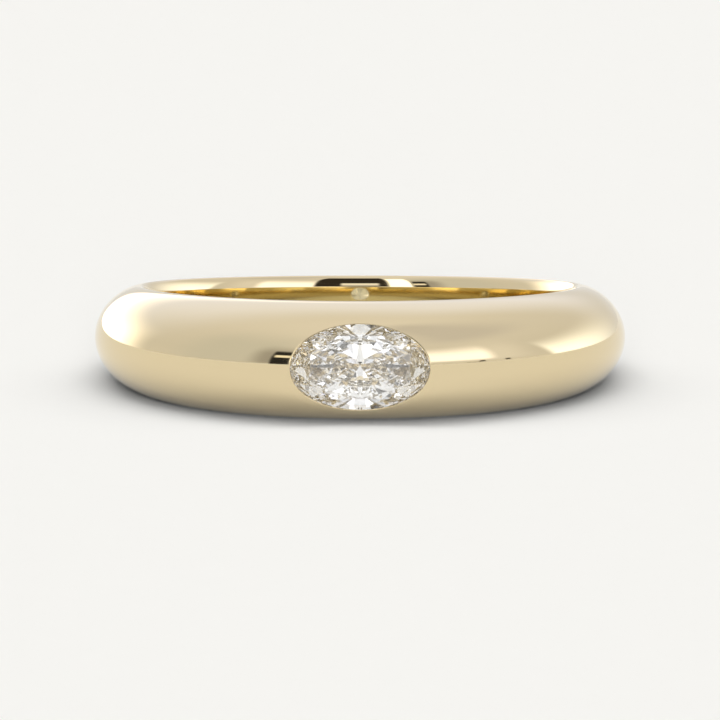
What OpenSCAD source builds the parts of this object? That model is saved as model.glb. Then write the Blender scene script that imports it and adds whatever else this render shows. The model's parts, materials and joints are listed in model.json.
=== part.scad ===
// Flush set ring: a domed band that tapers to the back, with one oval brilliant sunk into its front.
// The ring lies on its side on the plane z = 0. The front, with the stone, faces -Y.

/* [Finger hole] */
// Inside diameter of the ring
finger_d = 16.5; // [15.5:0.1:20]

/* [Band] */
// Width of the band at the front, measured along the finger
front_w = 4.4; // [4.4:0.1:5]
// Width of the band at its two sides
side_w = 3.8; // [3.4:0.1:4.2]
// Width of the band at the back
back_w = 2.8; // [2.2:0.1:3.2]
// Thickness of the metal at the front, from the finger to the top of the dome
front_t = 2.65; // [2.6:0.05:3]
// Thickness of the metal at the two sides
side_t = 2.0; // [1.4:0.05:2.2]
// Thickness of the metal at the back
back_t = 1.8; // [1.2:0.05:2]
// Shape of the dome: 1 is an ellipse, and more pulls its shoulders in
dome_power = 1.25; // [1.15:0.05:1.3]
// How far the inside edge is rounded back from the finger
edge_r = 0.3; // [0.25:0.05:0.35]
// How far in from the side the rounding of the inside edge begins
edge_w = 0.45; // [0.3:0.05:0.6]

/* [Stone] */
// Length of the stone, across the finger
stone_l = 5.32; // [5.1:0.02:5.4]
// Width of the stone, along the finger
stone_w = 3.32; // [3.2:0.02:3.34]
// Height of the crown, above the girdle
crown_h = 0.49; // [0.35:0.01:0.5]
// Thickness of the girdle at its thickest
girdle_h = 0.08; // [0.07:0.01:0.1]
// Depth of the pavilion, below the girdle
pavilion_h = 1.26; // [1.1:0.01:1.27]
// Size of the table, as a share of the stone
table_share = 0.69; // [0.55:0.01:0.7]

/* [Seat] */
// Height of the girdle's lower edge above the finger hole's wall
girdle_rise = 1.29; // [1.28:0.01:1.3]
// How far below the middle of the band's width the stone's axis lies
stone_drop = 0.1; // [0:0.02:0.12]
// How far the burnished lip reaches over the long sides of the stone
lip_over = 0.05; // [0.04:0.01:0.06]
// Clearance between the stone and the metal
seat_gap = 0.03; // [0.03:0.01:0.04]
// Height of the opening behind the stone, along the finger
azure_w = 1.3; // [1:0.1:1.5]

/* [Rest] */
// How far in front of the finger hole's axis the ring's weight acts
balance_y = 1.6; // [0:0.1:2]

/* [Hidden] */

// Radius of the finger hole, and the radius at which the side of the band is widest
hole_r = finger_d / 2;
rim_r = hole_r + edge_r;

// The width and the thickness go round the ring as mean + lean * cos(a) + swell * sin(a)^2
w_mean = (front_w + back_w) / 2;
w_lean = (front_w - back_w) / 2;
w_swell = side_w - w_mean;
t_mean = (front_t + back_t) / 2;
t_lean = (front_t - back_t) / 2;
t_swell = side_t - t_mean;

// The sides are a little wider than the mean of front and back, so the ring lies on two points of its rim,
// one at each side, straight below its centre of weight
rest_cos = balance_y / rim_r;
rest_angle = atan((w_lean / 2 - max(w_swell, 0) * rest_cos) / rim_r);
rest_lift = cos(rest_angle) * (w_mean + w_swell * (1 + rest_cos * rest_cos)) / 2;

// Sections round the ring, and points on each section's dome, rounded edge and inner wall
sections = 96;
dome_steps = 22;
edge_steps = 4;
// The rounding of the inside edge turns this far, which leaves its last point just outside the finger hole
edge_turn = 72;
// The blank's inner wall stands this far inside the finger hole, which is then bored to size
bore_stock = 0.25;

// Heights along the stone's axis, measured from the ring's own axis
girdle_low = hole_r + girdle_rise;
girdle_top = girdle_low + girdle_h;
outside = hole_r + 2 * front_t;

// Shares of a brilliant's radius: where the star facets end on the crown, and the lower halves on the pavilion
star_share = 0.38;
half_share = 0.85;
mains = 8;
arc_steps = 4;
girdle_steps = mains * 2 * arc_steps;
main_step = 360 / mains;
half_step = main_step / 2;

// Band

function width_at(a) = w_mean + w_lean * cos(a) + w_swell * pow(sin(a), 2);
function thickness_at(a) = t_mean + t_lean * cos(a) + t_swell * pow(sin(a), 2);

// One section of the blank as [radius, height] points: over the dome from top to bottom,
// round the lower inside edge, up the inner wall and round the upper inside edge
function dome(w, t) = [
    for (i = [0:dome_steps])
        let (s = 180 * i / dome_steps)
        [rim_r + (t - edge_r) * pow(sin(s), dome_power), w / 2 * cos(s)]
];
function edge(w, way) = [
    for (i = [1:edge_steps])
        let (s = edge_turn * i / edge_steps)
        [rim_r - edge_r * sin(s), way * (w / 2 - edge_w * (1 - cos(s)))]
];
function reversed(list) = [for (i = [len(list) - 1:-1:0]) list[i]];
function section(w, t) = concat(
    dome(w, t),
    edge(w, -1),
    [[hole_r - bore_stock, -w / 2 + 2 * edge_w], [hole_r - bore_stock, w / 2 - 2 * edge_w]],
    reversed(edge(w, 1))
);

// A solid through closed rows of points, each row joined to the next and the last to the first
module closed_loft(rows) {
    n = len(rows);
    m = len(rows[0]);
    polyhedron(
        points = [for (row = rows) for (p = row) p],
        faces = [
            for (i = [0:n - 1])
                for (j = [0:m - 1])
                    [i * m + j, ((i + 1) % n) * m + j, ((i + 1) % n) * m + (j + 1) % m, i * m + (j + 1) % m]
        ],
        convexity = 4
    );
}

module band_blank() {
    closed_loft([
        for (k = [0:sections - 1])
            let (a = 360 * k / sections)
            [for (p = section(width_at(a), thickness_at(a))) [p[0] * sin(a), -p[0] * cos(a), p[1]]]
    ]);
}

// Sets a shape that points up on the stone's axis, which points forwards
module on_stone_axis() {
    translate([0, 0, -stone_drop])
        rotate([90, 0, 0]) children();
}

// The space cut for the stone, turned about the stone's axis and stretched to its oval:
// the opening from the finger hole, the bearing that follows the pavilion, the groove for the girdle,
// and the mouth, which the burnished lip makes a little narrower than the stone
module seat() {
    groove_r = stone_w / 2 + seat_gap;
    groove_low = girdle_low - seat_gap;
    groove_top = girdle_top + seat_gap + lip_over * star_z / (stone_w / 2 * (1 - star_r));
    mouth_r = stone_w / 2 - lip_over;
    azure_r = azure_w / 2;
    azure_top = groove_low - pavilion_h * (1 - azure_r / groove_r);
    scale([stone_l / stone_w, 1, 1])
        rotate_extrude($fn = 128)
            polygon([
                [0, hole_r / 2],
                [azure_r, hole_r / 2],
                [azure_r, azure_top],
                [groove_r, groove_low],
                [groove_r, groove_top],
                [mouth_r, groove_top],
                [mouth_r, outside],
                [0, outside]
            ]);
}

module band() {
    color("goldenrod")
        at_rest()
            difference() {
                band_blank();
                cylinder(r = hole_r, h = 4 * front_w, center = true, $fn = 128);
                on_stone_axis() seat();
            }
}

// Stone

// A point of a round brilliant of radius 1, at a share of the radius, an angle and a height
function spoke(share, a, z) = [share * cos(a), share * sin(a), z];

// Height at x, y of the plane through three points
function plane_z(p, q, r, x, y) =
    let (n = cross(q - p, r - p))
    p[2] - (n[0] * (x - p[0]) + n[1] * (y - p[1])) / n[2];

// Inner ends of the crown's and the pavilion's half facets, which lie on the flat main facets
star_r = table_share * cos(half_step) + star_share * (1 - table_share * cos(half_step));
star_z = crown_h * (1 - star_r * cos(half_step)) / (1 - table_share);
half_r = 1 - half_share;
half_z = pavilion_h * (1 - half_r * cos(half_step));

// Height of the half facet over the girdle at a step round it, for an inner end at a share and a height
function girdle_z(i, share, z) =
    let (
        k = floor(i / (2 * arc_steps)),
        mid = half_step + k * main_step,
        near = (i % (2 * arc_steps) < arc_steps) ? k * main_step : (k + 1) * main_step,
        p = spoke(1, i * 360 / girdle_steps, 0)
    )
    plane_z(spoke(share, mid, z), spoke(1, near, 0), spoke(1, mid, 0), p[0], p[1]);

module oval_brilliant() {
    table = [for (k = [0:mains - 1]) spoke(table_share, k * main_step, girdle_h + crown_h)];
    stars = [for (k = [0:mains - 1]) spoke(star_r, half_step + k * main_step, girdle_h + star_z)];
    upper = [
        for (i = [0:girdle_steps - 1])
            spoke(1, i * 360 / girdle_steps, girdle_h + girdle_z(i, star_r, star_z))
    ];
    lower = [for (i = [0:girdle_steps - 1]) spoke(1, i * 360 / girdle_steps, -girdle_z(i, half_r, half_z))];
    halves = [for (k = [0:mains - 1]) spoke(half_r, half_step + k * main_step, -half_z)];
    culet = [[0, 0, -pavilion_h]];
    star_0 = mains;
    upper_0 = star_0 + mains;
    lower_0 = upper_0 + girdle_steps;
    half_0 = lower_0 + girdle_steps;
    culet_0 = half_0 + mains;
    per_main = 2 * arc_steps;
    scale([stone_l / 2, stone_w / 2, 1])
        polyhedron(
            points = concat(table, stars, upper, lower, halves, culet),
            faces = concat(
                [[for (k = [mains - 1:-1:0]) k]],
                [for (k = [0:mains - 1]) [k, (k + 1) % mains, star_0 + k]],
                [
                    for (k = [0:mains - 1])
                        [k, star_0 + k, upper_0 + k * per_main, star_0 + (k + mains - 1) % mains]
                ],
                [
                    for (k = [0:mains - 1])
                        for (h = [0:1])
                            concat(
                                [star_0 + k],
                                [
                                    for (i = [arc_steps:-1:0])
                                        upper_0 + (k * per_main + h * arc_steps + i) % girdle_steps
                                ]
                            )
                ],
                [
                    for (i = [0:girdle_steps - 1])
                        [upper_0 + i, upper_0 + (i + 1) % girdle_steps, lower_0 + (i + 1) % girdle_steps, lower_0 + i]
                ],
                [
                    for (k = [0:mains - 1])
                        for (h = [0:1])
                            concat(
                                [half_0 + k],
                                [
                                    for (i = [0:arc_steps])
                                        lower_0 + (k * per_main + h * arc_steps + i) % girdle_steps
                                ]
                            )
                ],
                [
                    for (k = [0:mains - 1])
                        [culet_0, half_0 + (k + mains - 1) % mains, lower_0 + k * per_main, half_0 + k]
                ]
            )
        );
}

module oval_stone() {
    color("whitesmoke")
        at_rest()
            on_stone_axis()
                translate([0, 0, girdle_low]) oval_brilliant();
}

// Pose

// Lays the ring on its side with its rim on the plane z = 0
module at_rest() {
    translate([0, 0, rest_lift])
        rotate([-rest_angle, 0, 0]) children();
}

band();
oval_stone();
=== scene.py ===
"""Looks of a flush set gypsy ring: a domed gold band with one oval brilliant, on a pale floor."""

from __future__ import annotations

import json
import logging
import math
from dataclasses import dataclass, field
from enum import Enum
from typing import Any

import bpy
import numpy as np
from mathutils import Matrix, Vector
from numpy.typing import NDArray

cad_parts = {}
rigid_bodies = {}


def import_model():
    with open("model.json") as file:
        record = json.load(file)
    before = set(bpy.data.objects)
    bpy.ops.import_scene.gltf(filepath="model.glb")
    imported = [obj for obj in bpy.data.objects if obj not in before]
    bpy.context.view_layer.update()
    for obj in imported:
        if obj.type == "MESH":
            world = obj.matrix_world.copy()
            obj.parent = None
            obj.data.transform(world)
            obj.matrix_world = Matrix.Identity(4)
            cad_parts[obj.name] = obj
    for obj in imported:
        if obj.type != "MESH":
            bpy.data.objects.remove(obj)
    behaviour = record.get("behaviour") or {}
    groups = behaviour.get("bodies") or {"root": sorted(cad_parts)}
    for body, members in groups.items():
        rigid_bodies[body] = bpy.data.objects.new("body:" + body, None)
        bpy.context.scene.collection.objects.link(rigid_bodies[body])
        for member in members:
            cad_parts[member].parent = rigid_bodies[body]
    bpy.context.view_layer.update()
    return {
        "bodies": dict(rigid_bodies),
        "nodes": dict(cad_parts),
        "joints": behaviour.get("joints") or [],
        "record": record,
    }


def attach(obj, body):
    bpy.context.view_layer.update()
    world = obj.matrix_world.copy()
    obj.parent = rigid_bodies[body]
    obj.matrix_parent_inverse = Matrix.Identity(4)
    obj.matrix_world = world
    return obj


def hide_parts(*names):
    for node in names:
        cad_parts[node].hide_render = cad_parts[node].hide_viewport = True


LOG = logging.getLogger("ring")
BODY = "root"
MM = 0.001
# The turn over which a slope is measured, in radians
SMALL_TURN = 1e-4
# How often light is followed on, through the stone and from wall to wall of the finger hole
BOUNCES = 64

Floats = NDArray[np.float64]
Ints = NDArray[np.int64]
Colour = tuple[float, float, float]


class Slot(Enum):
    """The record's material slots."""

    YELLOW_GOLD = "yellow_gold"
    CLEAR_STONE = "clear_stone"


class Solid(Enum):
    """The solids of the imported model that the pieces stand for."""

    BAND = "band"
    OVAL_STONE = "oval_stone"


class BandFinish(Enum):
    """The band's materials, by number: polished gold, the seat's gold painted darker as painted
    shade, and the wall's gold painted lighter as painted light.
    """

    POLISHED = 0
    SEAT = 1
    WALL = 2


class Maths(Enum):
    """The operations of a Math node that the shaders use."""

    ADD = "ADD"
    SUBTRACT = "SUBTRACT"
    MULTIPLY = "MULTIPLY"
    ARCTAN2 = "ARCTAN2"
    ARCSINE = "ARCSINE"


# Shader maths


class Scalar:
    """A number in a node tree. An expression on it adds Math nodes."""

    def __init__(self, tree: NodeTree, socket: bpy.types.NodeSocket) -> None:
        """Keeps the tree that the number is in and the socket that gives it."""
        self.tree = tree
        self.socket = socket

    def __add__(self, other: Number) -> Scalar:
        """The sum of the two."""
        return self.tree.maths(Maths.ADD, self, other)

    def __radd__(self, other: Number) -> Scalar:
        """The sum of the two."""
        return self.tree.maths(Maths.ADD, other, self)

    def __sub__(self, other: Number) -> Scalar:
        """This number less the other."""
        return self.tree.maths(Maths.SUBTRACT, self, other)

    def __rsub__(self, other: Number) -> Scalar:
        """The other number less this one."""
        return self.tree.maths(Maths.SUBTRACT, other, self)

    def __mul__(self, other: Number) -> Scalar:
        """The product of the two."""
        return self.tree.maths(Maths.MULTIPLY, self, other)

    def __rmul__(self, other: Number) -> Scalar:
        """The product of the two."""
        return self.tree.maths(Maths.MULTIPLY, other, self)


Number = Scalar | float


class NodeTree:
    """A material's or a world's node tree."""

    def __init__(self, owner: bpy.types.Material | bpy.types.World) -> None:
        """Empties the owner's tree.

        Args:
            owner: The material or the world whose nodes are made.
        """
        owner.use_nodes = True
        self.tree = owner.node_tree
        self.tree.nodes.clear()

    def node(
        self,
        kind: str,
        settings: dict[str, Any] | None = None,
        inputs: dict[int | str, Any] | None = None,
    ) -> bpy.types.Node:
        """Adds one node.

        Args:
            kind: The node's type.
            settings: Its properties, which are set first. "stops" are a ramp's places and colours.
            inputs: Values or links of its sockets, by name or number.

        Returns:
            The new node.
        """
        made = self.tree.nodes.new(kind)
        for name, value in (settings or {}).items():
            if name != "stops":
                setattr(made, name, value)
                continue
            # A new ramp has two stops
            for _ in value[2:]:
                made.color_ramp.elements.new(1.0)
            for stop, (place, colour) in zip(made.color_ramp.elements, value):
                stop.position, stop.color = place, (*colour, 1.0)
        for name, value in (inputs or {}).items():
            if isinstance(value, Scalar):
                value = value.socket
            if isinstance(value, bpy.types.NodeSocket):
                self.tree.links.new(value, made.inputs[name])
            else:
                made.inputs[name].default_value = value
        return made

    def maths(self, operation: Maths, *values: Number) -> Scalar:
        """Adds a Math node and gives its result.

        Args:
            operation: What the node does.
            values: Its one or two operands.

        Returns:
            The result.
        """
        settings, inputs = {"operation": operation.value}, dict(enumerate(values))
        return Scalar(self, self.node("ShaderNodeMath", settings, inputs).outputs[0])

    def step(self, value: Scalar, low: float, high: float) -> Scalar:
        """Goes smoothly from 0 where the value is low to 1 where it is high.

        Args:
            value: The value that is measured.
            low: Where the step begins. It may be the larger of the two.
            high: Where the step ends.

        Returns:
            The step, from 0 to 1.
        """
        settings = {"interpolation_type": "SMOOTHSTEP"}
        inputs = {"Value": value, "From Min": low, "From Max": high}
        if low > high:
            inputs |= {"From Min": high, "From Max": low}
        made = self.node("ShaderNodeMapRange", settings, inputs)
        rising = Scalar(self, made.outputs["Result"])
        return 1.0 - rising if low > high else rising

    def mix(self, factor: Number, first: Any, second: Any) -> bpy.types.NodeSocket:
        """Mixes two colours.

        Args:
            factor: 0 for the first colour, 1 for the second.
            first: A colour or a colour's socket.
            second: A colour or a colour's socket.

        Returns:
            The mixed colour's socket.
        """
        full = [(*c, 1.0) if isinstance(c, tuple) else c for c in (first, second)]
        inputs = {0: factor, 6: full[0], 7: full[1]}
        return self.node("ShaderNodeMix", {"data_type": "RGBA"}, inputs).outputs[2]

    def noise(self, waves: float, detail: float = 2.0) -> Scalar:
        """Adds a noise texture, read at the place on the piece.

        Args:
            waves: How fine it is, in waves a metre.
            detail: How many finer layers it has.

        Returns:
            The noise, from 0 to 1.
        """
        place = self.node("ShaderNodeTexCoord").outputs["Object"]
        inputs = {"Vector": place, "Scale": waves, "Detail": detail, "Roughness": 0.5}
        return Scalar(self, self.node("ShaderNodeTexNoise", {}, inputs).outputs["Fac"])

    def surface(self, inputs: dict[str, Any]) -> None:
        """Gives a material its shader, from the values or links of the shader's sockets."""
        shader = self.node("ShaderNodeBsdfPrincipled", {}, inputs).outputs["BSDF"]
        self.node("ShaderNodeOutputMaterial", {}, {"Surface": shader})


# Finishes


@dataclass(frozen=True)
class PolishedGold:
    """Yellow gold with a high polish."""

    name: str = "polished_gold"
    colour: Colour = (0.786, 0.654, 0.416)
    pale: Colour = (0.792, 0.662, 0.428)
    pale_share: float = 0.6
    roughness: float = 0.045
    haze: float = 0.03
    cloud_waves: float = 260.0
    cloud_edge: tuple[float, float] = (0.35, 0.7)
    haze_waves: float = 2400.0

    def material(self) -> bpy.types.Material:
        """Makes the material: the polish is hazier and the alloy a little paler in soft clouds.

        Returns:
            The material.
        """
        made = bpy.data.materials.new(self.name)
        tree = NodeTree(made)
        clouds = tree.step(tree.noise(self.cloud_waves, 3.0), *self.cloud_edge)
        tree.surface(
            {
                "Base Color": tree.mix(clouds * self.pale_share, self.colour, self.pale),
                "Metallic": 1.0,
                "Roughness": self.roughness + self.haze * clouds * tree.noise(self.haze_waves),
            }
        )
        return made


@dataclass(frozen=True)
class SeatGoldPaintedShade:
    """The gold inside the seat, painted darker than the polished band: painted shade for the recess
    behind the stone.
    """

    # Both tones are darker than the band's gold: painted shade in the seat
    colour: Colour = (0.65, 0.59, 0.475)
    shade: Colour = (0.58, 0.525, 0.42)
    roughness: float = 0.05
    unevenness: float = 0.03
    stroke_waves: float = 1500.0

    def material(self) -> bpy.types.Material:
        """Makes the material: polished gold darkened as painted shade, in slightly uneven strokes.

        Returns:
            The material.
        """
        made = bpy.data.materials.new("seat_gold_painted_shade")
        tree = NodeTree(made)
        strokes = tree.noise(self.stroke_waves)
        tree.surface(
            {
                "Base Color": tree.mix(strokes, self.shade, self.colour),
                "Metallic": 1.0,
                "Roughness": self.roughness + self.unevenness * strokes,
            }
        )
        return made


@dataclass(frozen=True)
class CutStone:
    """A clear, colourless stone with polished facets."""

    colour: Colour = (1.0, 1.0, 1.0)
    cool: Colour = (0.985, 0.992, 1.0)
    cloud_waves: float = 900.0
    index: float = 2.417

    def material(self) -> bpy.types.Material:
        """Makes the material: clear, with a breath of colour that clouds through it.

        Returns:
            The material.
        """
        made = bpy.data.materials.new("cut_stone")
        tree = NodeTree(made)
        tree.surface(
            {
                "Base Color": tree.mix(tree.noise(self.cloud_waves), self.colour, self.cool),
                "Roughness": 0.0,
                "IOR": self.index,
                "Transmission Weight": 1.0,
            }
        )
        return made


@dataclass(frozen=True)
class PaleFloor:
    """A matt, slightly warm white floor."""

    colour: Colour = (0.925, 0.916, 0.883)
    shade: Colour = (0.919, 0.910, 0.877)
    grain_waves: float = 700.0

    def material(self) -> bpy.types.Material:
        """Makes the material: a matt white with the faintest grain.

        Returns:
            The material.
        """
        made = bpy.data.materials.new("pale_floor")
        tree = NodeTree(made)
        colour = tree.mix(tree.noise(self.grain_waves, 3.0), self.shade, self.colour)
        tree.surface({"Base Color": colour, "Roughness": 1.0, "Specular IOR Level": 0.0})
        return made


# Meshes


@dataclass(frozen=True)
class Row:
    """A row of a mesh's points, with the normals that its faces show there."""

    points: Ints
    normals: Floats

    def turned(self, normals: Floats) -> Row:
        """The same points with other normals, where two surfaces meet at an edge."""
        return Row(self.points, normals)


@dataclass
class Weave:
    """A closed mesh under way: points, and four-sided faces with a normal at each corner.

    New faces take the finish that is set.
    """

    places: list[Floats] = field(default_factory=list)
    faces: list[Ints] = field(default_factory=list)
    normals: list[Floats] = field(default_factory=list)
    finishes: list[Ints] = field(default_factory=list)
    count: int = 0
    finish: BandFinish = BandFinish.POLISHED

    def add(self, places: Floats) -> Ints:
        """Adds points.

        Args:
            places: The points, in an array whose last side is 3 long.

        Returns:
            Their numbers, in an array of the same shape.
        """
        flat = places.reshape(-1, 3)
        numbers = np.arange(self.count, self.count + len(flat))
        self.places.append(flat)
        self.count += len(flat)
        return numbers.reshape(places.shape[:-1])

    def row(self, places: Floats, normals: Floats) -> Row:
        """Adds a row of points and keeps their normals with them."""
        return Row(self.add(places), normals)

    def quads(self, corners: Ints, normals: Floats, finishes: Ints | None = None) -> None:
        """Adds faces, which the build turns to the side that their normals point to.

        Args:
            corners: The numbers of the four corners of each face.
            normals: The normal at each of those corners.
            finishes: The number of each face's finish, where it isn't the one that is set.
        """
        self.faces.append(corners.reshape(-1, 4))
        self.normals.append(normals.reshape(-1, 4, 3))
        if finishes is None:
            finishes = np.full(len(self.faces[-1]), self.finish.value)
        self.finishes.append(finishes)

    def strip(self, first: Row, second: Row) -> None:
        """Joins two closed rows of the same length.

        Args:
            first: One row.
            second: The other.
        """
        rows = (first, second)
        corners = [r.points for r in rows]
        corners += [np.roll(r.points, -1) for r in reversed(rows)]
        normals = [r.normals for r in rows]
        normals += [np.roll(r.normals, -1, axis=0) for r in reversed(rows)]
        self.quads(np.stack(corners, 1), np.stack(normals, 1))

    def build(self, name: str, pose: RestPose) -> bpy.types.Object:
        """Makes the Blender object.

        Args:
            name: The piece's name.
            pose: How the ring lies on the floor.

        Returns:
            The object, at the origin, with its place in its mesh.
        """
        places = np.concatenate(self.places)
        faces = np.concatenate(self.faces)
        normals = np.concatenate(self.normals)
        corner = places[faces]
        facing = np.cross(corner[:, 2] - corner[:, 0], corner[:, 3] - corner[:, 1])
        wrong = (facing * normals.sum(1)).sum(1) < 0
        faces[wrong] = faces[wrong][:, ::-1]
        normals[wrong] = normals[wrong][:, ::-1]
        used, numbers = np.unique(faces, return_inverse=True)
        mesh = bpy.data.meshes.new(name)
        numbers = numbers.reshape(faces.shape)
        mesh.from_pydata(pose.place(places[used]).tolist(), [], numbers.tolist())
        mesh.polygons.foreach_set("use_smooth", np.ones(len(faces), bool))
        mesh.polygons.foreach_set("material_index", np.concatenate(self.finishes))
        mesh.normals_split_custom_set(pose.turn(normals.reshape(-1, 3)).tolist())
        mesh.update()
        return linked(name, mesh)


def linked(name: str, mesh: bpy.types.Mesh) -> bpy.types.Object:
    """Makes an object of a mesh and links it to the scene."""
    made = bpy.data.objects.new(name, mesh)
    bpy.context.scene.collection.objects.link(made)
    return made


def unit(vectors: Floats) -> Floats:
    """Vectors of length 1 that point the same ways."""
    return vectors / np.linalg.norm(vectors, axis=-1, keepdims=True)


@dataclass(frozen=True)
class RestPose:
    """How the ring lies: its axis, which leans back a little, and the middle of its finger hole."""

    axis: Vector
    middle: Vector

    @classmethod
    def of(cls, record: dict[str, Any]) -> RestPose:
        """Reads the pose from the finger hole's mount.

        Args:
            record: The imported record.

        Returns:
            The pose.
        """
        (hole,) = [m for m in record["mounts"] if m["name"] == "finger_hole"]
        return cls(Vector(hole["axis"]), Vector(hole["pos_m"]))

    def turn(self, vectors: Floats) -> Floats:
        """Turns directions from the ring's own frame to the floor's.

        Args:
            vectors: Directions in the ring's frame, whose Z is its axis.

        Returns:
            The same directions in the floor's frame.
        """
        axis = self.axis.normalized()
        turned = np.array([[1, 0, 0], [0, axis.z, axis.y], [0, -axis.y, axis.z]])
        return vectors @ turned.T

    def place(self, points: Floats) -> Floats:
        """Lays points given in millimetres in the ring's frame on the floor.

        Args:
            points: The points in the ring's frame.

        Returns:
            The points in the floor's frame, in metres.
        """
        return self.turn(points) * MM + np.array(self.middle)


# Band


@dataclass(frozen=True)
class Oval:
    """An oval round the stone's axis, which lies a little below the middle of the band."""

    half_length: float
    half_width: float
    drop: float

    def grown(self, by: float) -> Oval:
        """The same oval, larger all round."""
        return Oval(self.half_length + by, self.half_width + by, self.drop)

    def around(self, angles: Floats) -> tuple[Floats, Floats]:
        """Points of the oval.

        Args:
            angles: Where on the oval, in radians.

        Returns:
            How far each point lies across the finger, and along it.
        """
        along = self.half_width * np.sin(angles) - self.drop
        return self.half_length * np.cos(angles), along

    def inward(self, angles: Floats) -> Floats:
        """Directions that point in from the oval to the stone's axis."""
        across, along = np.cos(angles) / self.half_length, np.sin(angles) / self.half_width
        return -unit(np.stack([across, np.zeros_like(across), along], -1))


@dataclass(frozen=True)
class Seat:
    """The space cut for the stone, in millimetres. Depths are measured from the ring's axis.

    The lip reaches over the stone, and the gap is left between the stone and the metal.
    The azure is the opening behind the stone.
    """

    mouth: Oval
    groove: Oval
    azure: Oval
    groove_top: float
    groove_low: float
    azure_top: float
    lip: float = 0.05
    gap: float = 0.03
    azure_radius: float = 0.65
    burnish: float = 0.06
    burnish_steps: int = 5

    @classmethod
    def fitted(cls, stone: OvalStone) -> Seat:
        """Cuts the seat to a stone.

        Args:
            stone: The stone that it holds.

        Returns:
            The seat.
        """
        lip, gap, azure = cls.lip, cls.gap, cls.azure_radius
        stretch = stone.length / stone.width
        half = stone.width / 2

        def oval(radius: float) -> Oval:
            """The seat's oval whose shorter radius this is."""
            return Oval(radius * stretch, radius, stone.drop)

        low = stone.girdle_low - gap
        rise = lip * stone.star_height / (half * (1 - stone.star_radius))
        return cls(
            mouth=oval(half - lip),
            groove=oval(half + gap),
            azure=oval(azure),
            groove_top=stone.girdle_low + stone.girdle_height + gap + rise,
            groove_low=low,
            azure_top=low - stone.pavilion_height * (1 - azure / (half + gap)),
        )


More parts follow.
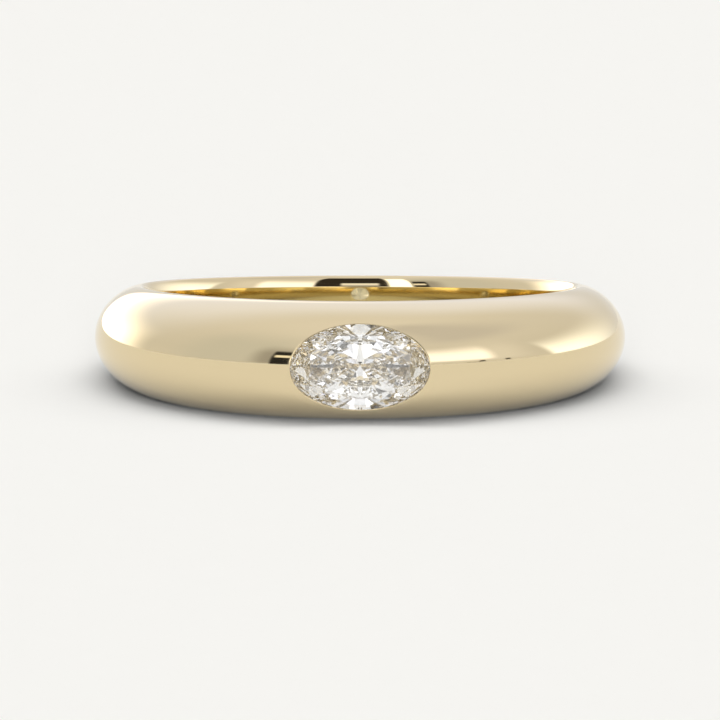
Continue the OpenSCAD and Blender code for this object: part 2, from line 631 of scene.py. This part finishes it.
@dataclass(frozen=True)
class Band:
    """The domed band, tapered to the back, with the seat cut through its front, in millimetres.

    A larger dome power pulls the dome's shoulders in. The edge's two powers shape the softened
    inside edge, towards the finger and down the wall. The comfort radius curves the wall,
    which opens to both sides. A patch is the mesh between the seat and a window left in the body,
    and rounds are how often a fit is repeated.
    """

    seat: Seat
    hole_radius: float = 8.25
    front_width: float = 4.4
    side_width: float = 3.8
    back_width: float = 2.8
    front_thickness: float = 2.65
    side_thickness: float = 2.0
    back_thickness: float = 1.8
    dome_power: float = 1.25
    edge_radius: float = 0.3
    edge_width: float = 0.45
    edge_in_power: float = 0.667
    edge_down_power: float = 1.54
    comfort_radius: float = 22.0
    sections: int = 240
    dome_steps: int = 72
    edge_steps: int = 12
    wall_steps: int = 60
    patch_sections: int = 15
    patch_steps: int = 24
    patch_rings: int = 12
    patch_ease: float = 1.5
    dome_rounds: int = 40
    edge_rounds: int = 60
    first_turn: float = 1.4
    finish: PolishedGold = PolishedGold()
    # The seat's gold is painted darker: painted shade behind the stone
    seat_painted_shade: SeatGoldPaintedShade = SeatGoldPaintedShade()
    # The finger hole's wall is the band's gold painted lighter and yellower: painted light for the
    # warmer light inside the ring
    wall_painted_light: PolishedGold = PolishedGold("wall_gold_painted_light", (0.80, 0.695, 0.43), (0.805, 0.70, 0.44))

    @property
    def rim_radius(self) -> float:
        """The radius at which the side of the band is widest."""
        return self.hole_radius + self.edge_radius

    def width(self, angle: Floats) -> Floats:
        """The band's width at an angle round the finger from the front."""
        return tapered(self.front_width, self.side_width, self.back_width, angle)

    def thickness(self, angle: Floats) -> Floats:
        """The band's thickness at an angle round the finger from the front."""
        return tapered(self.front_thickness, self.side_thickness, self.back_thickness, angle)

    def dome(self, angle: Floats, turn: Floats) -> Floats:
        """Points of the dome.

        Args:
            angle: Angles round the finger from the front.
            turn: Angles over the dome, from 0 at its upper rim to pi at its lower rim.

        Returns:
            The points.
        """
        rise = (self.thickness(angle) - self.edge_radius) * np.sin(turn) ** self.dome_power
        return swept(angle, self.rim_radius + rise, self.width(angle) / 2 * np.cos(turn))

    def dome_normals(self, angle: Floats, turn: Floats) -> Floats:
        """Normals of the dome.

        Args:
            angle: Angles round the finger from the front.
            turn: Angles over the dome.

        Returns:
            The normals, which point out of the metal.
        """
        near_rim = np.radians(1.0)
        turn = np.clip(turn, near_rim, np.pi - near_rim)
        small = SMALL_TURN
        round_it = self.dome(angle + small, turn) - self.dome(angle - small, turn)
        over_it = self.dome(angle, turn + small) - self.dome(angle, turn - small)
        return unit(np.cross(over_it, round_it))

    def on_dome(self, across: Floats, along: Floats) -> tuple[Floats, Floats]:
        """Finds the dome's angles under points seen from the front.

        Args:
            across: How far each point lies across the finger.
            along: How far it lies along the finger.

        Returns:
            The angle round the finger and the angle over the dome of each.
        """
        angle = np.arcsin(across / (self.rim_radius + self.front_thickness))
        turn = np.zeros_like(angle)
        for _ in range(self.dome_rounds):
            turn = np.arccos(2 * along / self.width(angle))
            radius = np.hypot(*np.moveaxis(self.dome(angle, turn)[..., :2], -1, 0))
            angle = np.arcsin(across / radius)
        return angle, turn

    def wall_radius(self, height: Floats) -> Floats:
        """The finger hole's radius, which opens a little towards both sides for comfort."""
        return self.hole_radius + height**2 / (2 * self.comfort_radius)

    def wall(self, angle: Floats, height: Floats) -> Floats:
        """Points of the finger hole's wall."""
        return swept(angle, self.wall_radius(height), height)

    def wall_normals(self, angle: Floats, height: Floats) -> Floats:
        """Normals of the finger hole's wall, which point to the finger."""
        slope = height / self.comfort_radius
        return unit(swept(angle, -np.ones_like(slope), slope))

    def edge_shape(self, angle: Floats) -> tuple[Floats, Floats]:
        """Fits the rounded inside edge to the wall, so that one runs into the other.

        Args:
            angle: Angles round the finger from the front.

        Returns:
            How far the rounding turns, and how deep it is.
        """
        turn = np.full_like(angle, self.first_turn)
        depth = np.full_like(angle, self.edge_radius)
        steep = self.edge_width * self.edge_down_power
        for _ in range(self.edge_rounds):
            height = self.width(angle) / 2 - self.edge_drop(turn)
            depth = self.rim_radius - self.wall_radius(height)
            depth /= np.sin(turn) ** self.edge_in_power
            slope = height * steep * np.sin(turn) ** (2 - self.edge_in_power)
            flat = self.comfort_radius * depth * self.edge_in_power
            turn = np.arccos((slope / flat) ** (1 / (2 - self.edge_down_power)))
        return turn, depth

    def edge_drop(self, turn: Floats) -> Floats:
        """How far down from the rim the rounded inside edge is, where it has turned by an angle."""
        return self.edge_width * (1 - np.cos(turn) ** self.edge_down_power)

    def reach(self, angle: Floats) -> Floats:
        """How far the wall goes up and down from its middle, to the rounded inside edges."""
        turn, _ = self.edge_shape(angle)
        return self.width(angle) / 2 - self.edge_drop(turn)

    def edge(self, angle: Floats, share: float, way: int) -> tuple[Floats, Floats]:
        """Points and normals of a rounded inside edge.

        Args:
            angle: Angles round the finger from the front.
            share: How far along the rounding, from 0 at the rim to 1 at the wall.
            way: 1 for the upper edge, -1 for the lower one.

        Returns:
            The points and the normals.
        """

        def at(around: Floats) -> Floats:
            """The edge's points at other angles, for the same share."""
            end, depth = self.edge_shape(around)
            turn = end * share
            radius = self.rim_radius - depth * np.sin(turn) ** self.edge_in_power
            height = self.width(around) / 2 - self.edge_drop(turn)
            return swept(around, radius, way * height)

        end, depth = self.edge_shape(angle)
        small = SMALL_TURN
        round_it = at(angle + small) - at(angle - small)
        turn = end * share
        inward = -depth * self.edge_in_power
        down = self.edge_width * self.edge_down_power * np.sin(turn) ** (2 - self.edge_in_power)
        down *= np.cos(turn) ** (self.edge_down_power - 2)
        tangent = swept(angle, inward, -way * down)
        return at(angle), way * unit(np.cross(round_it, tangent))

    def body(self, weave: Weave) -> tuple[Row, Row]:
        """Weaves the whole band but for two windows at the front, outside and inside.

        Args:
            weave: The mesh under way.

        Returns:
            The outer and the inner window's frame.
        """
        angle = np.arange(self.sections) * 2 * np.pi / self.sections
        grid = []
        for step in range(self.dome_steps + 1):
            turn = np.full_like(angle, np.pi * step / self.dome_steps)
            grid.append((self.dome(angle, turn), self.dome_normals(angle, turn)))
        for step in range(1, self.edge_steps + 1):
            grid.append(self.edge(angle, step / self.edge_steps, -1))
        reach = self.reach(angle)
        for step in range(1, self.wall_steps):
            height = reach * (2 * step / self.wall_steps - 1)
            grid.append((self.wall(angle, height), self.wall_normals(angle, height)))
        for step in range(self.edge_steps, 0, -1):
            grid.append(self.edge(angle, step / self.edge_steps, 1))
        places, facing = (np.stack(part, 1) for part in zip(*grid))
        numbers = weave.add(places)
        wall = self.dome_steps + self.edge_steps
        finishes = np.full(numbers.shape, BandFinish.POLISHED.value)
        # The wall rows take the lighter gold: painted light
        finishes[:, wall : wall + self.wall_steps] = BandFinish.WALL.value
        middles = (self.dome_steps // 2, wall + self.wall_steps // 2)
        kept = np.ones(numbers.shape, bool)
        columns = np.arange(-self.patch_sections, self.patch_sections)
        for middle in middles:
            rows = np.arange(middle - self.patch_steps, middle + self.patch_steps)
            kept[np.ix_(columns, rows)] = False

        def corners(values: NDArray[Any]) -> NDArray[Any]:
            """What the four corners of each face take from a grid of values."""
            after = np.roll(values, -1, axis=0)
            over, after_over = np.roll(values, -1, axis=1), np.roll(after, -1, axis=1)
            return np.stack([values, after, after_over, over], 2)[kept]

        weave.quads(corners(numbers), corners(facing), finishes[kept])
        across, along = self.window()
        frames = []
        for middle, way in zip(middles, (-1, 1)):
            spot = (across, middle + way * along)
            frames.append(Row(numbers[spot], facing[spot]))
        return frames[0], frames[1]

    def window(self) -> tuple[Ints, Ints]:
        """The frame of a window round the seat, in steps across and along from its middle."""
        wide, high = self.patch_sections, self.patch_steps
        across, along = np.arange(-wide, wide), np.arange(-high, high)
        side, end = np.full(2 * high, wide), np.full(2 * wide, high)
        return (
            np.concatenate([across, side, -across, -side]),
            np.concatenate([-end, along, end, -along]),
        )

    def shares(self) -> list[float]:
        """How far in from a window's frame to the seat each of the rows between them lies."""
        rings = range(1, self.patch_rings + 1)
        return [1 - (1 - ring / self.patch_rings) ** self.patch_ease for ring in rings]

    def build(self, pose: RestPose) -> bpy.types.Object:
        """Makes the band.

        Args:
            pose: How the ring lies on the floor.

        Returns:
            The piece.
        """
        weave = Weave()
        outer, inner = self.body(weave)
        across, along = self.window()
        turns = np.arctan2(along / self.patch_steps, across / self.patch_sections)
        mouth = self.outer_patch(weave, outer, turns)
        azure = self.cut(weave, mouth, turns)
        self.inner_patch(weave, inner, azure, turns)
        made = weave.build("domed_band", pose)
        # The seat's gold is painted darker, painted shade; the wall's gold is painted lighter,
        # painted light
        finishes = {
            BandFinish.POLISHED: self.finish,
            BandFinish.SEAT: self.seat_painted_shade,
            BandFinish.WALL: self.wall_painted_light,
        }
        for part in BandFinish:
            made.data.materials.append(finishes[part].material())
        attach(made, BODY)
        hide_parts(Solid.BAND.value)
        return made

    def outer_patch(self, weave: Weave, frame: Row, turns: Floats) -> Row:
        """Weaves the dome from the outer window's frame in to the burnished lip.

        Args:
            weave: The mesh under way.
            frame: The window's frame.
            turns: Where on the seat's ovals each point of the frame leads.

        Returns:
            The lip's lower row, at the top of the seat's wall.
        """
        seat = self.seat
        across, along = self.window()
        angle = across * 2 * np.pi / self.sections
        start = np.stack([angle, np.pi / 2 - along * np.pi / self.dome_steps])
        end = np.stack(self.on_dome(*seat.mouth.grown(seat.burnish).around(turns)))
        last = frame
        for share in self.shares():
            angle, turn = start * (1 - share) + end * share
            row = weave.row(self.dome(angle, turn), self.dome_normals(angle, turn))
            weave.strip(last, row)
            last = row
        corner = self.dome(*self.on_dome(*seat.mouth.around(turns)))
        return self.rounded(weave, last, self.dome(*end), corner, seat.mouth.inward(turns), 1)

    def rounded(
        self, weave: Weave, last: Row, begin: Floats, corner: Floats, inward: Floats, way: int
    ) -> Row:
        """Weaves a small rounded edge from a surface over to a wall cut through it.

        Args:
            weave: The mesh under way.
            last: The surface's last row.
            begin: The places of that row.
            corner: Where the surface and the wall would meet.
            inward: The wall's normals.
            way: Which way the wall leads: 1 for back to the finger, -1 for out to the front.

        Returns:
            The wall's first row.
        """
        steps = self.seat.burnish_steps
        end = corner + np.array([0.0, way * self.seat.burnish, 0.0])
        row = last
        for step in range(1, steps + 1):
            share, rest = step / steps, 1 - step / steps
            place = begin * rest**2 + corner * 2 * share * rest + end * share**2
            over = (corner - begin) * rest + (end - corner) * share
            round_it = np.roll(place, -1, axis=0) - np.roll(place, 1, axis=0)
            normal = unit(np.cross(over, round_it))
            side = (normal * (last.normals + inward)).sum(-1, keepdims=True)
            after = weave.row(place, normal * np.sign(side))
            weave.strip(row, after)
            row = after
        return row.turned(inward)

    def cut(self, weave: Weave, lip: Row, turns: Floats) -> Row:
        """Weaves the seat's walls, from the lip to the opening behind the stone.

        Args:
            weave: The mesh under way.
            lip: The lip's lower row.
            turns: Where on the seat's ovals the rows' points lie.

        Returns:
            The row at the top of the opening behind the stone.
        """
        seat = self.seat
        ways = [
            (seat.mouth, seat.groove_top),
            (seat.groove, seat.groove_top),
            (seat.groove, seat.groove_low),
            (seat.azure, seat.azure_top),
        ]
        # The lip's wall is straight, so it leads down from any place above its foot
        above = 1.0
        last, before = lip, (seat.mouth, seat.groove_top + above)
        for oval, depth in ways:
            # The seat's walls below the lip take the darkened gold: painted shade
            weave.finish = BandFinish.POLISHED if oval is seat.mouth else BandFinish.SEAT
            across, along = oval.around(turns)
            place = np.stack([across, np.full_like(across, -depth), along], -1)
            inward = oval.inward(turns)
            drop, spread = before[1] - depth, before[0].half_width - oval.half_width
            slope = unit(np.array([drop, spread]))
            normal = inward * slope[0] + np.array([0.0, -slope[1], 0.0])
            row = weave.row(place, normal)
            weave.strip(last.turned(normal), row)
            last, before = row, (oval, depth)
        return last

    def inner_patch(self, weave: Weave, frame: Row, azure: Row, turns: Floats) -> None:
        """Weaves the finger hole's wall round the opening behind the stone, and the opening's wall.

        Args:
            weave: The mesh under way.
            frame: The inner window's frame.
            azure: The row at the top of the opening.
            turns: Where on the opening's oval each point of the frame leads.
        """
        seat = self.seat
        across, along = self.window()
        angle = across * 2 * np.pi / self.sections
        start = np.stack([angle, self.reach(angle) * along * 2 / self.wall_steps])

        def on_wall(oval: Oval) -> Floats:
            """The wall's angles and heights on an oval."""
            wide, high = oval.around(turns)
            return np.stack([np.arcsin(wide / self.wall_radius(high)), high])

        end = on_wall(seat.azure.grown(seat.burnish))
        last = frame
        # The wall round the opening takes the lighter gold: painted light
        weave.finish = BandFinish.WALL
        for share in self.shares():
            place = start * (1 - share) + end * share
            row = weave.row(self.wall(*place), self.wall_normals(*place))
            weave.strip(last, row)
            last = row
        inward, corner = seat.azure.inward(turns), self.wall(*on_wall(seat.azure))
        edge = self.rounded(weave, last, self.wall(*end), corner, inward, -1)
        weave.strip(edge, azure.turned(inward))


def tapered(front: float, side: float, back: float, angle: Floats) -> Floats:
    """A size that runs smoothly round the ring.

    Args:
        front: The size at the front.
        side: The size at the two sides.
        back: The size at the back.
        angle: Angles round the finger from the front.

    Returns:
        The size at each angle.
    """
    mean, lean = (front + back) / 2, (front - back) / 2
    return mean + lean * np.cos(angle) + (side - mean) * np.sin(angle) ** 2


def swept(angle: Floats, radius: Floats | float, height: Floats | float) -> Floats:
    """Points at angles round the ring's axis, measured from its front.

    Args:
        angle: The angles.
        radius: Distances from the axis.
        height: Heights along the axis.

    Returns:
        The points.
    """
    return np.stack([radius * np.sin(angle), -radius * np.cos(angle), height + 0 * angle], -1)


# Stone


@dataclass(frozen=True)
class OvalStone:
    """The oval brilliant. Sizes are in millimetres, and shares are of a brilliant's radius.

    The girdle's lower edge is measured from the ring's axis.
    """

    length: float = 5.32
    width: float = 3.32
    crown_height: float = 0.49
    girdle_height: float = 0.08
    pavilion_height: float = 1.26
    table_share: float = 0.69
    star_share: float = 0.38
    half_share: float = 0.85
    girdle_low: float = 9.54
    drop: float = 0.1
    mains: int = 8
    arc_steps: int = 4
    finish: CutStone = CutStone()

    @property
    def half_step(self) -> float:
        """Half the angle between two main facets."""
        return math.pi / self.mains

    @property
    def star_radius(self) -> float:
        """How far out the star facets reach."""
        inner = self.table_share * math.cos(self.half_step)
        return inner + self.star_share * (1 - inner)

    @property
    def star_height(self) -> float:
        """How high over the girdle the star facets' outer points lie."""
        share = 1 - self.star_radius * math.cos(self.half_step)
        return self.crown_height * share / (1 - self.table_share)

    @property
    def half_radius(self) -> float:
        """How near the culet the lower half facets reach."""
        return 1 - self.half_share

    @property
    def half_height(self) -> float:
        """How deep under the girdle the lower half facets reach."""
        return self.pavilion_height * (1 - self.half_radius * math.cos(self.half_step))

    def spokes(self, share: float, angles: Floats, height: Floats | float) -> Floats:
        """Points of a round brilliant of radius 1, at angles round its axis."""
        flat = np.stack([share * np.cos(angles), share * np.sin(angles)], -1)
        return np.concatenate([flat, np.broadcast_to(height, angles.shape)[:, None]], 1)

    def girdle(self, share: float, height: float) -> Floats:
        """Heights of the half facets where they meet the girdle.

        Args:
            share: How far out their inner ends are.
            height: How high over the girdle those ends are.

        Returns:
            A height at each point of the girdle.
        """
        per_main = 2 * self.arc_steps
        heights = []
        for number in range(self.mains * per_main):
            main, part = divmod(number, per_main)
            middle = (2 * main + 1) * self.half_step
            near = 2 * (main if part < self.arc_steps else main + 1) * self.half_step
            a, b, c = self.spokes(1.0, np.array([middle, near, middle]), 0.0)
            a = self.spokes(share, np.array([middle]), height)[0]
            normal = np.cross(b - a, c - a)
            around = np.array([number * self.half_step / self.arc_steps])
            p = self.spokes(1.0, around, 0.0)[0]
            heights.append(a[2] - normal[:2] @ (p - a)[:2] / normal[2])
        return np.array(heights)

    def facets(self) -> tuple[Floats, list[list[int]]]:
        """Cuts the stone.

        Returns:
            Its points, in a frame whose Z is the stone's axis, and its facets.
        """
        mains = np.arange(self.mains) * 2 * self.half_step
        halves = mains + self.half_step
        steps = self.mains * 2 * self.arc_steps
        around = np.arange(steps) * self.half_step / self.arc_steps
        top = self.girdle_height
        parts = [
            self.spokes(self.table_share, mains, top + self.crown_height),
            self.spokes(self.star_radius, halves, top + self.star_height),
            self.spokes(1.0, around, top + self.girdle(self.star_radius, self.star_height)),
            self.spokes(1.0, around, -self.girdle(self.half_radius, self.half_height)),
            self.spokes(self.half_radius, halves, -self.half_height),
            np.array([[0.0, 0.0, -self.pavilion_height]]),
        ]
        counts = [0] + [len(part) for part in parts[:-1]]
        table, star, upper, lower, half, culet = np.cumsum(counts).tolist()
        facets: list[list[int]] = [[table + k for k in range(self.mains)]]
        facets += [
            [upper + i, lower + i, lower + (i + 1) % steps, upper + (i + 1) % steps]
            for i in range(steps)
        ]
        for k in range(self.mains):
            after, before = (k + 1) % self.mains, (k - 1) % self.mains
            first = k * 2 * self.arc_steps
            facets += [
                [table + k, star + k, table + after],
                [table + k, star + before, upper + first, star + k],
                [culet, half + k, lower + first, half + before],
            ]
            for side in (first, first + self.arc_steps):
                arc = [(side + i) % steps for i in range(self.arc_steps + 1)]
                facets.append([star + k] + [upper + i for i in arc])
                facets.append([half + k] + [lower + i for i in reversed(arc)])
        scale = np.array([self.length / 2, self.width / 2, 1.0])
        return np.concatenate(parts) * scale, facets

    def build(self, pose: RestPose) -> bpy.types.Object:
        """Makes the stone.

        Args:
            pose: How the ring lies on the floor.

        Returns:
            The piece.
        """
        points, facets = self.facets()
        across, along, out = points.T
        places = np.stack([across, -(out + self.girdle_low), along - self.drop], -1)
        mesh = bpy.data.meshes.new("oval_brilliant")
        mesh.from_pydata(pose.place(places).tolist(), [], facets)
        mesh.update()
        made = linked("oval_brilliant", mesh)
        made.data.materials.append(self.finish.material())
        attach(made, BODY)
        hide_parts(Solid.OVAL_STONE.value)
        return made


# Studio


@dataclass(frozen=True)
class Panel:
    """A soft panel of light, or a dark card, far off.

    Angles are in degrees, up and to the right of the front. The left and right edges are measured
    from the panel's centre, and a lean moves them aside for each degree of height. Each edge runs
    from the angle where the panel begins to show to the angle where it shows in full.
    """

    colour: Colour
    centre: float
    left: tuple[float, float]
    right: tuple[float, float]
    low: tuple[float, float]
    high: tuple[float, float]
    left_lean: float = 0.0
    right_lean: float = 0.0


@dataclass(frozen=True)
class SoftLight:
    """A wide soft light that lights the floor. Angles are in degrees.

    The tilt is measured from straight up, and the side it tilts to from the front to the right.
    """

    name: str
    strength: float
    width: float
    tilt: float
    side: float = 0.0

    def build(self) -> None:
        """Makes the light, which the metal and the stone don't mirror."""
        data = bpy.data.lights.new(self.name, "SUN")
        data.energy = self.strength
        data.angle = math.radians(self.width)
        made = bpy.data.objects.new(self.name, data)
        made.rotation_euler = (math.radians(self.tilt), 0.0, math.radians(self.side))
        made.visible_glossy = False
        made.visible_transmission = False
        bpy.context.scene.collection.objects.link(made)


@dataclass(frozen=True)
class Studio:
    """A pale floor under an even white sky, with panels of light and dark cards round the ring.

    The sky's colours run from the horizon, at 0, to the zenith, at 1, and the zenith is in degrees.
    A panel covers those that stand before it in the list. The floor's radius is in metres.
    """

    sky: tuple[tuple[float, Colour], ...] = (
        (0.0, (0.81, 0.81, 0.81)),
        (0.17, (0.785, 0.785, 0.79)),
        (0.33, (0.80, 0.80, 0.81)),
        (0.55, (0.84, 0.84, 0.86)),
        (0.72, (0.88, 0.88, 0.90)),
        (1.0, (0.94, 0.94, 0.97)),
    )
    zenith: float = 90.0
    floor_radius: float = 1.2
    floor_rings: int = 24
    floor_sides: int = 96
    finish: PaleFloor = PaleFloor()
    lights: tuple[SoftLight, ...] = (
        SoftLight("overhead_light", 1.52, 60.0, 20.0),
        SoftLight("front_light", 1.185, 40.0, 60.0),
        SoftLight("low_light", 2.32, 20.0, 78.0),
        SoftLight("left_light", 0.416, 40.0, 40.0, -90.0),
        SoftLight("right_light", 0.416, 40.0, 40.0, 90.0),
    )
    panels: tuple[Panel, ...] = (
        # Wide, even parts of the room
        Panel((0.73, 0.75, 0.77), -60, (-38, -10), (35, 15), (-2, 0), (70, 35)),
        Panel((0.93, 0.93, 0.95), 62, (-25, -5), (25, 5), (-2, 8), (50, 20)),
        Panel((0.72, 0.72, 0.76), 75, (-55, -15), (60, 10), (40, 55), (88, 78)),
        Panel((1.02, 1.07, 1.27), 180, (-45, -10), (85, 20), (8, 28), (75, 45)),
        # Bright panels, behind on both sides and in front on the right
        Panel((2.7, 2.65, 2.62), -135, (-31, -25), (30, -3), (-2, 0), (32, 8), -0.69),
        Panel((1.85, 1.95, 2.10), 120, (-30, -24), (38, -16), (-2, 0), (30, 2), -0.294),
        Panel((1.75, 1.75, 1.9), 45, (-25, -15), (19, 11), (3, 9), (40, 16)),
        # Dark cards, and light gaps in them
        Panel((0.45, 0.45, 0.45), -38, (-15, -4), (11, 5), (-2, 4), (45, 22)),
        Panel((0.03, 0.03, 0.03), -35, (-5.5, -4.0), (4.5, 3.5), (-2, 0), (32, 27)),
        Panel((1.20, 1.15, 1.00), -34.5, (-4.5, -3.2), (4.0, 3.0), (15, 17), (22, 20)),
        Panel((0.30, 0.27, 0.22), 50.5, (-4.5, -2.5), (3.5, 2.5), (-0.2, 0.1), (0.9, 0.6)),
        Panel((0.06, 0.05, 0.04), 54.5, (-1.6, -1.0), (1.6, 1.0), (0.3, 0.7), (4.0, 3.2)),
        Panel((0.06, 0.05, 0.04), 67.1, (-1.6, -1.0), (1.6, 1.0), (0.5, 0.9), (4.0, 3.2)),
        Panel((1.5, 1.5, 1.5), 3, (-22, -18), (22, 18), (-1, 1), (10, 8)),
        Panel((0.04, 0.035, 0.03), 4, (-20.5, -19), (23, 21), (8, 10), (60, 54)),
        Panel((1.1, 1.1, 1.1), 0, (-12, -9.5), (12, 9.5), (13.5, 15), (23.5, 22)),
        Panel((2.4, 2.4, 2.3), -23, (-7, -6), (6.5, 5.5), (2, 5), (50, 44)),
    )

    def build(self) -> None:
        """Makes the sky, the lights and the floor."""
        self.make_sky()
        for light in self.lights:
            light.build()
        self.make_floor()

    def make_sky(self) -> None:
        """Makes the sky, which the metal and the stone mirror and which doesn't light the floor."""
        world = bpy.data.worlds.new("studio")
        bpy.context.scene.world = world
        world.cycles_visibility.diffuse = False
        tree = NodeTree(world)
        way = tree.node("ShaderNodeTexCoord").outputs["Generated"]
        parts = tree.node("ShaderNodeSeparateXYZ", {}, {"Vector": way}).outputs
        east, north, up = (Scalar(tree, part) for part in parts)
        degrees = math.degrees(1.0)
        height = tree.maths(Maths.ARCSINE, up) * degrees
        colour: Any = tree.node(
            "ShaderNodeValToRGB", {"stops": list(self.sky)}, {"Fac": height * (1 / self.zenith)}
        ).outputs["Color"]
        for panel in self.panels:
            centre = math.radians(panel.centre)
            ahead = math.sin(centre) * east - math.cos(centre) * north
            aside = math.cos(centre) * east + math.sin(centre) * north
            offset = tree.maths(Maths.ARCTAN2, aside, ahead) * degrees
            mask = (
                tree.step(offset - panel.left_lean * height, *panel.left)
                * tree.step(offset - panel.right_lean * height, *panel.right)
                * tree.step(height, *panel.low)
                * tree.step(height, *panel.high)
            )
            colour = tree.mix(mask, colour, panel.colour)
        light = tree.node("ShaderNodeBackground", {}, {"Color": colour, "Strength": 1.0})
        tree.node("ShaderNodeOutputWorld", {}, {"Surface": light.outputs["Background"]})

    def make_floor(self) -> None:
        """Makes the floor, a wide disc whose rings lie closer under the ring."""
        turns = np.arange(self.floor_sides) * 2 * np.pi / self.floor_sides
        out = np.arange(1, self.floor_rings + 1) / self.floor_rings
        rings = [swept(turns, radius, 0.0) for radius in self.floor_radius * out**2]
        points = np.concatenate([np.zeros((1, 3)), *rings])
        sides = self.floor_sides
        faces = [[0, 1 + i, 1 + (i + 1) % sides] for i in range(sides)]
        for ring in range(self.floor_rings - 1):
            first = 1 + ring * sides
            for i in range(sides):
                near, after = first + i, first + (i + 1) % sides
                faces.append([near, near + sides, after + sides, after])
        mesh = bpy.data.meshes.new("floor")
        mesh.from_pydata(points.tolist(), [], faces)
        mesh.update()
        made = linked("floor", mesh)
        made.data.materials.append(self.finish.material())


@dataclass(frozen=True)
class PhotoCamera:
    """The camera, level from side to side, in front of the ring and a little above it.

    The elevation is in degrees, and the other sizes are in millimetres.
    """

    elevation: float = 9.2575
    distance: float = 200.0
    aim_height: float = 0.8707
    lens: float = 257.25
    sensor: float = 36.0
    nearest: float = 10.0
    farthest: float = 10000.0

    def build(self) -> None:
        """Makes the camera and gives it to the scene."""
        data = bpy.data.cameras.new("photo_camera")
        data.lens, data.sensor_width = self.lens, self.sensor
        data.clip_start, data.clip_end = self.nearest * MM, self.farthest * MM
        made = bpy.data.objects.new("photo_camera", data)
        bpy.context.scene.collection.objects.link(made)
        tilt = math.radians(self.elevation)
        back = Vector((0, -math.cos(tilt), math.sin(tilt)))
        place = back * self.distance + Vector((0, 0, self.aim_height))
        aim = (-back).to_track_quat("-Z", "Y")
        made.matrix_world = Matrix.LocRotScale(place * MM, aim, None)
        bpy.context.scene.camera = made


def main() -> None:
    """Builds the ring, the studio and the camera."""
    logging.basicConfig(level=logging.INFO, format="%(message)s")
    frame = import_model()
    scene = bpy.context.scene
    scene.view_settings.view_transform = "Standard"
    scene.cycles.max_bounces = BOUNCES
    scene.cycles.transmission_bounces = BOUNCES
    scene.cycles.glossy_bounces = BOUNCES
    scene.cycles.caustics_reflective = False
    scene.cycles.caustics_refractive = False
    pose = RestPose.of(frame["record"])
    stone = OvalStone()
    for piece in (Band(Seat.fitted(stone)), stone):
        made = piece.build(pose)
        LOG.info("%s: %d faces", made.name, len(made.data.polygons))
    Studio().build()
    PhotoCamera().build()
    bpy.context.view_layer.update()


if __name__ == "__main__":
    main()
